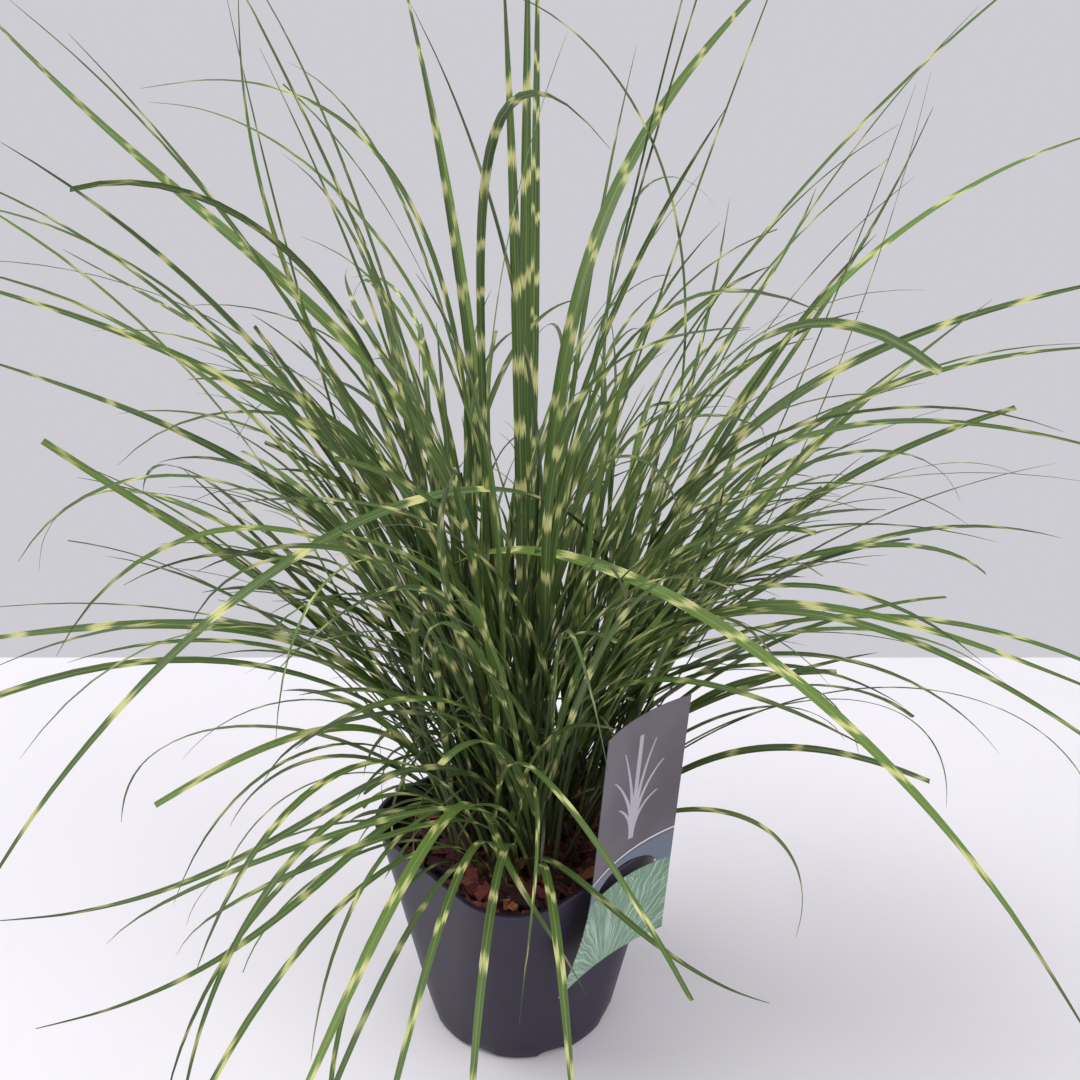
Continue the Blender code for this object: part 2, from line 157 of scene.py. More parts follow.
def panel_light(name, place, aim_at, size, power):
    """A soft square light, placed as seen from the camera's side."""
    data = bpy.data.lights.new(name, "AREA")
    data.shape = "SQUARE"
    data.size = size
    data.energy = power
    lamp = bpy.data.objects.new(name, data)
    spot = view_turn() @ Vector(place)
    towards = view_turn() @ Vector(aim_at) - spot
    turned = towards.to_track_quat("-Z", "Y").to_matrix().to_4x4()
    lamp.matrix_world = Matrix.Translation(spot) @ turned
    bpy.context.scene.collection.objects.link(lamp)
    return lamp


MIDDLE = (0, 0, 0.3)
panel_light("key panel", place=(-2.2, 0.2, 3.8), aim_at=MIDDLE, size=2.6, power=120)
panel_light("fill panel", place=(2.4, -1.5, 2.2), aim_at=MIDDLE, size=2.4, power=44)
print("lights", [item.name for item in bpy.data.lights])

# %% [markdown]
# ## Shader sums in plain Python
#
# A procedural finish is mostly arithmetic. Wiring every Math node by hand hides that, so a small
# class wraps a socket and overloads the operators: an expression such as `1 - band * 0.4` adds
# its own nodes. Everything else goes through one method, `add`, which takes a node's type, its
# settings and its sockets.

# %% Wires and finishes
class Wire:
    """The output of a node, which can be used in sums."""

    def __init__(self, finish, socket):
        self.finish = finish
        self.socket = socket

    def maths(self, operation, *values):
        sockets = dict(enumerate(values))
        return self.finish.add("ShaderNodeMath", {"operation": operation}, sockets)

    def __add__(self, other):
        return self.maths("ADD", self, other)

    def __radd__(self, other):
        return self.maths("ADD", other, self)

    def __sub__(self, other):
        return self.maths("SUBTRACT", self, other)

    def __rsub__(self, other):
        return self.maths("SUBTRACT", other, self)

    def __mul__(self, other):
        return self.maths("MULTIPLY", self, other)

    def __rmul__(self, other):
        return self.maths("MULTIPLY", other, self)

    def __abs__(self):
        return self.maths("ABSOLUTE", self)

    def sine(self):
        return self.maths("SINE", self)

    def step(self, start, end):
        """0 below start, 1 above end, and a smooth rise between."""
        settings = {"interpolation_type": "SMOOTHSTEP", "clamp": True}
        sockets = {"Value": self, "From Min": start, "From Max": end}
        return self.finish.add("ShaderNodeMapRange", settings, sockets)


class Finish:
    """A material on a Principled shader, with constants set on the shader's own sockets."""

    def __init__(self, name, **constants):
        self.material = bpy.data.materials.new(name)
        self.material.use_nodes = True
        self.tree = self.material.node_tree
        self.shader = self.tree.nodes["Principled BSDF"]
        for socket, value in constants.items():
            self.shader.inputs[socket.replace("_", " ")].default_value = value

    def add(self, kind, settings=None, sockets=None, out=0):
        """Adds a node: first its settings, then the values or links of its sockets."""
        node = self.tree.nodes.new(kind)
        for name, value in (settings or {}).items():
            setattr(node, name, value)
        for name, value in (sockets or {}).items():
            if isinstance(value, Wire):
                self.tree.links.new(value.socket, node.inputs[name])
            else:
                node.inputs[name].default_value = value
        return Wire(self, node.outputs[out])

    def attribute(self, name):
        return self.add("ShaderNodeAttribute", {"attribute_name": name}, out="Fac")

    def place(self):
        return self.add("ShaderNodeTexCoord", out="Object")

    def vector(self, x, y, z):
        return self.add("ShaderNodeCombineXYZ", None, {"X": x, "Y": y, "Z": z})

    def noise(self, vector, scale, detail=2.0, roughness=0.5):
        sockets = {"Vector": vector, "Scale": scale, "Detail": detail, "Roughness": roughness}
        return self.add("ShaderNodeTexNoise", None, sockets)

    def mix(self, share, low, high):
        """A colour between low and high."""
        settings = {"data_type": "RGBA"}
        return self.add("ShaderNodeMix", settings, {0: share, 6: low, 7: high}, out=2)

    def split(self, vector):
        """The three parts of a vector."""
        first = self.add("ShaderNodeSeparateXYZ", None, {0: vector})
        return [Wire(self, socket) for socket in first.socket.node.outputs]

    def bump(self, height, strength, distance):
        sockets = {"Height": height, "Strength": strength, "Distance": distance}
        return self.add("ShaderNodeBump", None, sockets)

    def feed(self, **wires):
        """Links wires to the shader's sockets and hands back the material."""
        for socket, wire in wires.items():
            self.tree.links.new(wire.socket, self.shader.inputs[socket.replace("_", " ")])
        return self.material


def rgb(red, green, blue):
    return (red, green, blue, 1.0)


table_finish = Finish("table paint", Roughness=0.55, Specular_IOR_Level=0.3)
cloud = table_finish.noise(table_finish.place(), 3.0, 4.0)
table_colour = table_finish.mix(cloud, rgb(0.75, 0.735, 0.765), rgb(0.81, 0.795, 0.82))
table.data.materials.append(table_finish.feed(Base_Color=table_colour))
print("finish", table_finish.material.name, "nodes", len(table_finish.tree.nodes))

# %% [markdown]
# ## The pot
#
# A nursery pot is one thin moulding. Its base is round and its top is square with round corners,
# so no turned profile makes it. It could be a cube cage with subdivision, but the change from
# round to square is easier to hold with rings: one ring of edges is extruded up the outside,
# over the lip and down the inside, and after each extrusion its points are moved to the section
# at that height. The arches round its foot are pressed in by lifting the lowest points.

# %% Pot
POT_BASE_SIDE = 0.142
POT_CORNER = 0.044
POT_WALL = 0.0015
POT_FLOOR = 0.003
LIP_OUT = 0.0018
LIP_DEPTH = 0.0030
POT_POINTS = 144
FOOT_ARCHES = 8
ARCH_HEIGHT = 0.0036
ARCH_SHARE = 0.42
ARCH_FADE = 0.02                # height over which an arch dies out in the wall
BASE_EDGE = 0.004               # breadth of the ring that the pot's base is edged with


def section_point(angle, z, out):
    """The point of the pot's section in one direction: a square with round corners."""
    share = z / RIM
    wall_top = RIM_SIDE - 2 * LIP_OUT
    side = POT_BASE_SIDE + (wall_top - POT_BASE_SIDE) * share
    corner = POT_BASE_SIDE / 2 + (POT_CORNER - POT_BASE_SIDE / 2) * share + out
    inset = side / 2 + out - corner
    quarter = round(angle / (math.pi / 2) - 0.5)
    local = angle - (quarter + 0.5) * math.pi / 2 + math.pi / 4
    turn = Matrix.Rotation(quarter * math.pi / 2, 3, "Z")
    reach = inset + corner
    ray = Vector((math.cos(local), math.sin(local), 0))
    on_right = ray * (reach / max(ray.x, 1e-6))
    on_top = ray * (reach / max(ray.y, 1e-6))
    if on_right.y <= inset:
        point = on_right
    elif on_top.x <= inset:
        point = on_top
    else:
        centre = Vector((inset, inset, 0))
        along = ray.dot(centre)
        point = ray * (along + math.sqrt(corner ** 2 - centre.length_squared + along ** 2))
    placed = turn @ point
    placed.z = z
    return placed


def foot_lift(angle):
    """How far an arch lifts the lowest edge of the wall in one direction."""
    phase = (angle / (2 * math.pi) * FOOT_ARCHES) % 1.0
    away = abs(phase - 0.5) / (ARCH_SHARE / 2)
    return ARCH_HEIGHT * max(0.0, 1 - away ** 4)


def pot_profile():
    """Heights and outward steps, from the foot over the lip to the floor inside."""
    under = RIM - LIP_DEPTH
    steps = [(0.0, -0.0035), (0.0008, -0.0012), (0.0030, 0.0)]
    steps += [(under * share, 0.0) for share in (0.08, 0.16, 0.3, 0.45, 0.6, 0.75, 0.88)]
    steps += [(under - 0.0006, 0.0002), (under, LIP_OUT - 0.0006), (under + 0.0007, LIP_OUT)]
    steps += [(RIM - 0.0008, LIP_OUT), (RIM - 0.0002, LIP_OUT - 0.0004), (RIM, LIP_OUT - 0.0010)]
    steps += [(RIM, 0.0005 - POT_WALL), (RIM - 0.0004, -POT_WALL)]
    steps += [(RIM * share, -POT_WALL) for share in (0.85, 0.5, 0.1)]
    steps += [(POT_FLOOR, -POT_WALL - 0.0025)]
    return steps


def make_pot():
    """Extrudes one ring of edges through the whole profile, then closes both floors."""
    bm = bmesh.new()
    start = bmesh.ops.create_circle(bm, segments=POT_POINTS, radius=POT_BASE_SIDE / 2)
    ring = start["verts"]
    edges = bm.edges[:]
    bottom = bm.faces.new(ring)
    for number, (z, out) in enumerate(pot_profile()):
        if number:
            swept = bmesh.ops.extrude_edge_only(bm, edges=edges)
            ring = [item for item in swept["geom"] if isinstance(item, bmesh.types.BMVert)]
            edges = [item for item in swept["geom"] if isinstance(item, bmesh.types.BMEdge)
                     and all(vert in ring for vert in item.verts)]
        for vert in ring:
            angle = math.atan2(vert.co.y, vert.co.x)
            vert.co = section_point(angle, z, out)
            if z < ARCH_FADE:
                vert.co.z += foot_lift(angle) * (1 - z / ARCH_FADE)
    bmesh.ops.holes_fill(bm, edges=edges, sides=POT_POINTS)
    bmesh.ops.inset_region(bm, faces=[bottom], thickness=BASE_EDGE, depth=0)
    for vert in bottom.verts:
        vert.co.z = 0.0
    bmesh.ops.recalc_face_normals(bm, faces=bm.faces)
    return new_object("nursery_pot", bm)


pot = make_pot()
pot.data.shade_smooth()
pot.data.set_sharp_from_angle(angle=math.radians(40))
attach(pot, BODY)
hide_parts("pot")
print("pot faces", len(pot.data.polygons))

# %% Pot finish
pot_finish = Finish("pot plastic", Roughness=0.4, Specular_IOR_Level=0.35)
spot = pot_finish.place()
broad = pot_finish.noise(spot, 9.0, 3.0)
fine = pot_finish.noise(spot, 900.0, 2.0)
scuff = pot_finish.noise(spot, 60.0, 6.0, 0.7).step(0.60, 0.74)
shade = pot_finish.mix(broad, rgb(0.013, 0.0085, 0.022), rgb(0.026, 0.0175, 0.043))
worn = pot_finish.mix(scuff * 0.35, shade, rgb(0.060, 0.050, 0.078))
pot.data.materials.append(pot_finish.feed(
    Base_Color=worn,
    Roughness=0.36 + broad * 0.14 + scuff * 0.12,
    Normal=pot_finish.bump(fine + broad * 2.0, 0.12, 0.0004)))
print("finish", pot_finish.material.name)

# %% [markdown]
# ## The root ball and the mulch
#
# The root ball hardly shows, so its CAD solid stays and only gets a crumbly finish. The mulch
# does show. A flat bed with a bumpy picture would look like carpet, so the bed is a lumpy dark
# layer, and several hundred chips lie on it, each a small block with a few faces, split and
# thinned at one end as shredded bark is. Every chip carries its own tint as an attribute.

# %% Root ball finish
crumb_finish = Finish("compost crumbs", Roughness=0.95)
crumb_place = crumb_finish.place()
crumbs = crumb_finish.noise(crumb_place, 220.0, 5.0, 0.7)
crumb_colour = crumb_finish.mix(
    crumbs.step(0.35, 0.7), rgb(0.005, 0.003, 0.003), rgb(0.035, 0.018, 0.014))
crumb_material = crumb_finish.feed(
    Base_Color=crumb_colour, Normal=crumb_finish.bump(crumbs, 0.8, 0.002))
root_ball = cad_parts["root_ball"]
root_ball.data.materials.clear()
root_ball.data.materials.append(crumb_material)
print("root ball keeps its solid")

# %% Mulch bed
BED_SEGMENTS = 72
BED_RINGS = 14
BED_LUMP = 0.0022
BED_LUMPS_PER_METRE = 90
BED_START = 0.02                # radius of the disc that the bed is stretched from
BED_GAP = 0.5 * MM              # from the pot's wall and from the root ball


def make_bed():
    """A lumpy layer inside the pot, closed underneath."""
    bm = bmesh.new()
    start = bmesh.ops.create_circle(bm, segments=BED_SEGMENTS, radius=BED_START)
    lid = bm.faces.new(start["verts"])
    for _ in range(BED_RINGS):
        bmesh.ops.inset_region(bm, faces=[lid], thickness=BED_START / (BED_RINGS + 1), depth=0)
    floor = BALL_TOP + BED_GAP
    for vert in bm.verts:
        share = vert.co.length / BED_START
        angle = math.atan2(vert.co.y, vert.co.x)
        edge = section_point(angle, MULCH, -POT_WALL - BED_GAP)
        vert.co = Vector((edge.x * share, edge.y * share, MULCH - BED_LUMP))
        vert.co.z += BED_LUMP * noise.noise(vert.co * BED_LUMPS_PER_METRE)
    rim_edges = [edge for edge in bm.edges if edge.is_boundary]
    swept = bmesh.ops.extrude_edge_only(bm, edges=rim_edges)
    skirt = [item for item in swept["geom"] if isinstance(item, bmesh.types.BMVert)]
    for vert in skirt:
        angle = math.atan2(vert.co.y, vert.co.x)
        vert.co = section_point(angle, floor, -POT_WALL - BED_GAP)
    lowest = [edge for edge in bm.edges if edge.is_boundary]
    bmesh.ops.holes_fill(bm, edges=lowest, sides=BED_SEGMENTS)
    bmesh.ops.recalc_face_normals(bm, faces=bm.faces)
    return new_object("mulch_bed", bm)


bed = make_bed()
bed.data.shade_smooth()
bed.data.materials.append(crumb_material)
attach(bed, BODY)
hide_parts("bark_mulch")
print("bed faces", len(bed.data.polygons))

# %% Bark chips
CHIP_COUNT = 640
CHIP_LONG = (5 * MM, 21 * MM)
CHIP_SLIM = (0.28, 0.6)
CHIP_THICK = (1.2 * MM, 3.6 * MM)
CHIP_TOP = 9.0 * MM
CHIP_SUNK = 1.2 * MM            # how far the lowest chips lie below the mulch's level
CHIP_GAP = 1.0 * MM             # from the pot's wall
CHIP_REACH = 0.62               # a chip's furthest corner from its middle, over its length
chip_draws = random.Random(11)


def unit_chip():
    """A block of six faces, cut twice so that it can bend and splinter."""
    bm = bmesh.new()
    bmesh.ops.create_cube(bm, size=1)
    long_edges = [edge for edge in bm.edges if abs(edge.verts[0].co.x - edge.verts[1].co.x) > 0.5]
    bmesh.ops.subdivide_edges(bm, edges=long_edges, cuts=2, use_grid_fill=True)
    mesh = bpy.data.meshes.new("unit chip")
    bm.to_mesh(mesh)
    bm.free()
    return mesh


def add_chip(bm, tint_layer, unit, place, size, tint, draws):
    """One chip: a copy of the unit, roughened, thinned at one end and laid in place."""
    before = len(bm.verts)
    bm.from_mesh(unit)
    bm.verts.ensure_lookup_table()
    bend = draws.uniform(-0.3, 0.3)
    thin = draws.uniform(0.2, 0.8)
    for vert in bm.verts[before:]:
        across = vert.co.x + 0.5
        vert.co.y += draws.uniform(-0.13, 0.13) + bend * (across - 0.5) ** 2
        vert.co.x += draws.uniform(-0.09, 0.09)
        vert.co.z = vert.co.z * (1 - thin * across) + draws.uniform(-0.12, 0.12)
        vert.co = place @ Vector((vert.co.x * size.x, vert.co.y * size.y, vert.co.z * size.z))
        vert[tint_layer] = tint


def make_chips():
    """Scatters chips over the bed, all of them inside the pot's wall."""
    bm = bmesh.new()
    tint_layer = bm.verts.layers.float.new("tint")
    unit = unit_chip()
    for _ in range(CHIP_COUNT):
        angle = chip_draws.uniform(-math.pi, math.pi)
        share = math.sqrt(chip_draws.random())
        size = Vector((chip_draws.uniform(*CHIP_LONG), 0, chip_draws.uniform(*CHIP_THICK)))
        size.y = size.x * chip_draws.uniform(*CHIP_SLIM)
        edge = section_point(angle, MULCH, -POT_WALL - CHIP_GAP - size.x * CHIP_REACH)
        middle = Vector((edge.x * share, edge.y * share, MULCH - CHIP_SUNK))
        middle.z += chip_draws.uniform(0, CHIP_TOP - size.z)
        turn = Matrix.Rotation(chip_draws.uniform(0, 2 * math.pi), 4, "Z")
        tip = Matrix.Rotation(chip_draws.gauss(0, 0.40), 4, "X")
        rear = Matrix.Rotation(chip_draws.gauss(0, 0.22), 4, "Y")
        place = Matrix.Translation(middle) @ turn @ tip @ rear
        add_chip(bm, tint_layer, unit, place, size, chip_draws.random(), chip_draws)
    bmesh.ops.recalc_face_normals(bm, faces=bm.faces)
    return new_object("bark_chips", bm)


chips = make_chips()
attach(chips, BODY)
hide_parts(*[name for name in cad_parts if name.startswith("bark_chip_")])
print("chips", CHIP_COUNT, "faces", len(chips.data.polygons))

# %% Bark finish
bark_finish = Finish("bark", Roughness=0.85)
bark_place = bark_finish.place()
tint = bark_finish.attribute("tint")
grain = bark_finish.noise(bark_place, 420.0, 4.0, 0.65)
patch = bark_finish.noise(bark_place, 70.0, 3.0)
deep = bark_finish.mix(tint.step(0.15, 0.9), rgb(0.034, 0.008, 0.010), rgb(0.235, 0.050, 0.042))
warm = bark_finish.mix(tint.step(0.90, 0.96), deep, rgb(0.42, 0.150, 0.060))
rough = bark_finish.mix(grain.step(0.45, 0.75) * 0.55, warm, rgb(0.013, 0.005, 0.005))
dusty = bark_finish.mix(patch.step(0.58, 0.75) * 0.4, rough, rgb(0.25, 0.090, 0.070))
chips.data.materials.append(bark_finish.feed(
    Base_Color=dusty,
    Roughness=0.7 + grain * 0.25,
    Normal=bark_finish.bump(grain + patch, 0.9, 0.0015)))
print("finish", bark_finish.material.name)

# %% [markdown]
# ## The label
#
# The label is a printed plastic sheet that hooks over the lip by a flap in its crescent slot.
# Its cut shape is already right in the frame, so the solid is copied and smoothed, and the
# print is done in the finish. Each point keeps its place across and along the label. The print
# is plain: a mauve-grey field with a simple tuft, a rule and a strip over the slot, and a
# green foot with pale wisps.

# %% Label
LABEL_TILT = math.radians(8)
LABEL_MIDDLE = Vector((0.021, 0, 0.183))


def joined_copy(node):
    """A bmesh copy of a CAD solid with its loose triangles joined."""
    bm = bmesh.new()
    bm.from_mesh(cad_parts[node].data)
    bmesh.ops.remove_doubles(bm, verts=bm.verts, dist=0.001 * MM)
    return bm


def make_label():
    bm = joined_copy("plant_label")
    across = bm.verts.layers.float.new("across")
    up = bm.verts.layers.float.new("up")
    straighten = Matrix.Rotation(-LABEL_TILT, 3, "Y")
    for vert in bm.verts:
        flat = straighten @ (vert.co - LABEL_MIDDLE)
        vert[across] = flat.x
        vert[up] = flat.z
    return new_object("printed_label", bm)


label = make_label()
label.data.shade_smooth()
label.data.set_sharp_from_angle(angle=math.radians(35))
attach(label, BODY)
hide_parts("plant_label")
print("label faces", len(label.data.polygons))

# %% Label print
SLOT_LEVEL = 0.152
STRIP_RISE = 0.0150             # top of the blue-grey strip over the slot's level
STRIP_SLOPE = 0.10
RULE_RISE = 0.0022              # middle of the pale rule over the strip
RULE_HALF = 0.0006
STROKE_HALF = 0.0026            # half width of a stroke at its foot
STROKE_LOSS = 0.0021            # how much narrower it is at its tip
UPRIGHT_HALF = 0.0019
WISPS_ASIDE = 0.012             # where the pale wisps would meet, left of the label's middle
WISPS_BELOW = 0.105             # and below it
TUFT_BASE = -0.002
TUFT_TALL = 0.078
TUFT_STROKES = (
    (-1, 0.030, 0.027), (-1, 0.062, 0.050), (-1, 0.150, 0.068),
    (1, 0.036, 0.033), (1, 0.078, 0.056), (1, 0.190, 0.073))


def stroke(across, up, hand, radius, tall):
    """One curved stroke of the tuft: part of a circle that starts at the tuft's foot."""
    rise = up - TUFT_BASE
    side = across - hand * radius
    away = side.maths("SQRT", side * side + rise * rise)
    slim = STROKE_HALF - rise * (STROKE_LOSS / tall)
    near = (slim - abs(away - radius)).step(-0.0001, 0.0002)
    on_side = (across * hand).step(-0.0030, -0.0015)
    return near * on_side * rise.step(0.0, 0.0005) * (tall - rise).step(0.0, 0.001)


def label_material():
    """Grey field with a tuft, a rule and a strip, over a green foot with pale wisps."""
    printed = Finish("label print", Roughness=0.30, IOR=1.5)
    place = printed.place()
    axes = printed.split(place)
    across = printed.attribute("across")
    up = printed.attribute("up")
    shine = printed.noise(place, 18.0, 2.0)
    field = printed.mix(shine.step(0.3, 0.7), rgb(0.085, 0.070, 0.088), rgb(0.130, 0.112, 0.136))
    tuft = (UPRIGHT_HALF - abs(across)).step(-0.0002, 0.0002)
    tuft = tuft * up.step(TUFT_BASE, TUFT_BASE + 0.001)
    tuft = tuft * (TUFT_BASE + TUFT_TALL - up).step(0.0, 0.001)
    for hand, radius, tall in TUFT_STROKES:
        tuft = tuft.maths("MAXIMUM", tuft, stroke(across, up, hand, radius, tall))
    marked = printed.mix(tuft, field, rgb(0.42, 0.40, 0.46))
    strip_top = axes[0] * STRIP_SLOPE + (SLOT_LEVEL + STRIP_RISE)
    over_strip = axes[2] - strip_top
    stripped = printed.mix(over_strip.step(-0.0002, 0.0002), rgb(0.125, 0.150, 0.200), marked)
    rule = (RULE_HALF - abs(over_strip - RULE_RISE)).step(-0.0002, 0.0002)
    ruled = printed.mix(rule * 0.85, stripped, rgb(0.72, 0.74, 0.78))
    fan_side = across + WISPS_ASIDE
    fan_rise = up + WISPS_BELOW
    turn = fan_side.maths("ARCTAN2", fan_side, fan_rise)
    reach = fan_rise.maths("SQRT", fan_side * fan_side + fan_rise * fan_rise)
    bend = printed.noise(printed.vector(across * 30.0, up * 30.0, 3.0), 1.0, 2.0) * 0.35
    wisps = printed.noise(printed.vector((turn + bend) * 34.0, reach * 12.0, 1.0), 1.0, 3.0)
    fine = printed.noise(printed.vector((turn - bend * 2.4) * 55.0, reach * 16.0, 7.0), 1.0, 2.0)
    clouds = printed.noise(place, 60.0, 3.0)
    green = printed.mix(clouds, rgb(0.090, 0.180, 0.120), rgb(0.200, 0.330, 0.225))
    wispy = printed.mix(wisps.step(0.54, 0.60) * 0.7, green, rgb(0.42, 0.56, 0.45))
    wispy = printed.mix(fine.step(0.57, 0.63) * 0.6, wispy, rgb(0.52, 0.64, 0.53))
    foot = axes[2].step(SLOT_LEVEL - 0.0003, SLOT_LEVEL + 0.0003)
    return printed.feed(
        Base_Color=printed.mix(foot, wispy, ruled),
        Roughness=shine * 0.10 + 0.26)


label.data.materials.append(label_material())
print("finish label print")

# %% [markdown]
# ## How a blade is made
#
# A grass blade is a long ribbon, folded along its midrib, that leaves its stem almost upright
# and bends over under its own weight. Array and Curve modifiers could bend one, but hundreds of
# live modifiers are slow and can't carry the banding. Here a four-sided bar is made once with
# operators and cut into short lengths; every blade is a copy of that bar, whose points are moved
# onto the blade's own line. Each point also keeps how far along and across the blade it is, and
# a number that is the blade's own, so that the finish can paint bands that no two blades share.

# %% Unit bar
def unit_bar(sides, lengths):
    """A closed bar from z 0 to z 1, with corners on a circle of radius 1."""
    bm = bmesh.new()
    bmesh.ops.create_cone(
        bm, cap_ends=True, segments=sides, radius1=1, radius2=1, depth=1,
        matrix=Matrix.Translation((0, 0, 0.5)))
    sides_of_bar = [edge for edge in bm.edges if abs(edge.verts[0].co.z - edge.verts[1].co.z) > 0.5]
    bmesh.ops.subdivide_edges(bm, edges=sides_of_bar, cuts=lengths - 1, use_grid_fill=True)
    mesh = bpy.data.meshes.new("unit bar")
    bm.to_mesh(mesh)
    bm.free()
    corners = np.array([vert.co for vert in mesh.vertices])
    return mesh, corners


LARGE_BAR = unit_bar(8, 60)
SMALL_BAR = unit_bar(4, 26)
STEM_BAR = unit_bar(6, 6)
print("bars", [len(bar[0].polygons) for bar in (LARGE_BAR, SMALL_BAR, STEM_BAR)])

# %% Lines that blades follow
class Line:
    """A blade's or stem's run: centre points, sideways directions and half widths."""

    def __init__(self, centres, sides, halves):
        self.centres = np.asarray(centres)
        self.sides = np.asarray(sides)
        self.halves = np.asarray(halves)
        steps = np.linalg.norm(np.diff(self.centres, axis=0), axis=1)
        self.run = np.concatenate([[0.0], np.cumsum(steps)])

    def length(self):
        return self.run[-1]

    def at(self, shares):
        """Smooth positions, tangents, sides and half widths at shares of the length."""
        where = np.clip(shares, 0, 1) * self.length()
        centres = smooth(self.run, self.centres, where)
        nudge = 0.004 * self.length()
        ahead = smooth(self.run, self.centres, np.minimum(where + nudge, self.length()))
        behind = smooth(self.run, self.centres, np.maximum(where - nudge, 0))
        tangents = unit(ahead - behind)
        sides = smooth(self.run, self.sides, where)
        sides = unit(sides - tangents * np.sum(sides * tangents, axis=1, keepdims=True))
        halves = np.interp(where, self.run, self.halves)
        return centres, tangents, sides, halves


def unit(vectors):
    return vectors / np.maximum(np.linalg.norm(vectors, axis=1, keepdims=True), 1e-9)


def smooth(run, values, where):
    """Catmull-Rom through values, so that a coarse line reads as a curve."""
    index = np.clip(np.searchsorted(run, where, side="right") - 1, 0, len(run) - 2)
    share = ((where - run[index]) / np.maximum(run[index + 1] - run[index], 1e-9))[:, None]
    before = values[np.maximum(index - 1, 0)]
    start = values[index]
    end = values[index + 1]
    after = values[np.minimum(index + 2, len(run) - 1)]
    return 0.5 * (
        2 * start + (end - before) * share
        + (2 * before - 5 * start + 4 * end - after) * share ** 2
        + (3 * start - before - 3 * end + after) * share ** 3)


# %% Blades from a bar and a line
FOLD = 0.30                     # how deep the midrib lies, over the half width
BLADE_THICKNESS = 0.32 * MM
DRY_REACH = 0.08                # how far back from its tip a blade darkens
LAYERS = ("along", "left", "across", "own")


def new_grass():
    """An empty bmesh with the layers that the blade finish reads."""
    bm = bmesh.new()
    for layer in LAYERS:
        bm.verts.layers.float.new(layer)
    return bm


def add_bar(bm, bar, points, along, left, across, own):
    """Adds a copy of a bar with its points moved to new places."""
    mesh = bar[0]
    before = len(bm.verts)
    bm.from_mesh(mesh)
    bm.verts.ensure_lookup_table()
    layers = [bm.verts.layers.float[layer] for layer in LAYERS]
    for number, vert in enumerate(bm.verts[before:]):
        vert.co = points[number]
        vert[layers[0]] = along[number]
        vert[layers[1]] = left[number]
        vert[layers[2]] = across[number]
        vert[layers[3]] = own


def add_blade(bm, bar, line, own, fold=FOLD):
    """One folded blade along a line; the tip of a trimmed blade isn't dry."""
    across, face, share = bar[1].T
    centres, tangents, sides, halves = line.at(share)
    normals = np.cross(tangents, sides)
    halves = halves[:, None]
    sunk = -fold * halves * (1 - np.abs(across))[:, None]
    thick = face[:, None] * np.minimum(BLADE_THICKNESS / 2, halves * 0.4)
    points = centres + sides * halves * across[:, None] + normals * (sunk + thick)
    along = share * line.length()
    trimmed = line.halves[-1] > 0.3 * line.halves.max()
    left = line.length() - along + (DRY_REACH if trimmed else 0.0)
    add_bar(bm, bar, points, along, left, across, own)


def add_stem(bm, bar, line, own):
    """One round stem along a line."""
    across, face, share = bar[1].T
    centres, tangents, sides, halves = line.at(share)
    normals = np.cross(tangents, sides)
    halves = halves[:, None]
    points = centres + (sides * across[:, None] + normals * face[:, None]) * halves
    along = share * line.length()
    add_bar(bm, bar, points, along, line.length() - along, across * 0, own)


def finish_piece(name, bm, finish, sharp=50):
    """Turns blades or stems into a piece that rides with the pot, smoothed up to an angle."""
    bmesh.ops.recalc_face_normals(bm, faces=bm.faces)
    piece = new_object(name, bm)
    piece.data.shade_smooth()
    piece.data.set_sharp_from_angle(angle=math.radians(sharp))
    piece.data.materials.append(finish)
    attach(piece, BODY)
    return piece


# %% [markdown]
# ## Reading the frame's blades
#
# Each large blade in the frame is a plain keeled ribbon: sections of three points, joined
# lengthways. Walking from the foot, the points joined to one section and not yet seen are the
# next section, so the line, the width and the twist can all be read back from the solid. The
# longest side of a section is the blade's width and the third point is its keel.

# %% Walk the sections of a solid
BLADE_CORNERS = 3
CULM_CORNERS = 8
FOOT_BAND = 4 * MM              # every foot is within this of the root ball's top


def walk_sections(node, points):
    """The sections of a lofted solid, from the one nearest the crown to its end."""
    bm = joined_copy(node)
    low = BALL_TOP + FOOT_BAND

    def from_crown(vert):
        return (vert.co.z > low, vert.co.xy.length)

    ring = sorted(bm.verts, key=from_crown)[:points]
    seen = set(ring)
    sections = []
    while ring:
        sections.append([vert.co.copy() for vert in ring])
        ahead = {edge.other_vert(vert) for vert in ring for edge in vert.link_edges}
        ring = sorted(ahead - seen, key=lambda vert: vert.index)
        seen |= set(ring)
    bm.free()
    return sections


def blade_line(node):
    """The line of a CAD blade, from its three-point sections."""
    centres, sides, halves = [], [], []
    for section in walk_sections(node, BLADE_CORNERS):
        pairs = [(a, b) for number, a in enumerate(section) for b in section[number + 1:]]
        left, right = max(pairs, key=lambda pair: (pair[0] - pair[1]).length)
        keel = next(point for point in section if point is not left and point is not right)
        middle = (left + right) / 2
        side = (right - left).normalized()
        if sides and side.dot(sides[-1]) < 0:
            side = -side
        centres.append(middle)
        sides.append(side)
        halves.append((right - left).length / 2)
        last_keel = keel - middle
    tangent = (centres[-1] - centres[-2]).normalized()
    if tangent.cross(sides[-1]).dot(last_keel) > 0:
        sides = [-side for side in sides]
    return Line(centres, sides, halves)


def stem_line(node):
    """The line of a CAD culm, from its round sections."""
    centres, halves = [], []
    for section in walk_sections(node, CULM_CORNERS):
        middle = sum(section, Vector()) / len(section)
        centres.append(middle)
        halves.append((section[0] - middle).length)
    return Line(centres, [Vector((1, 0, 0))] * len(centres), halves)


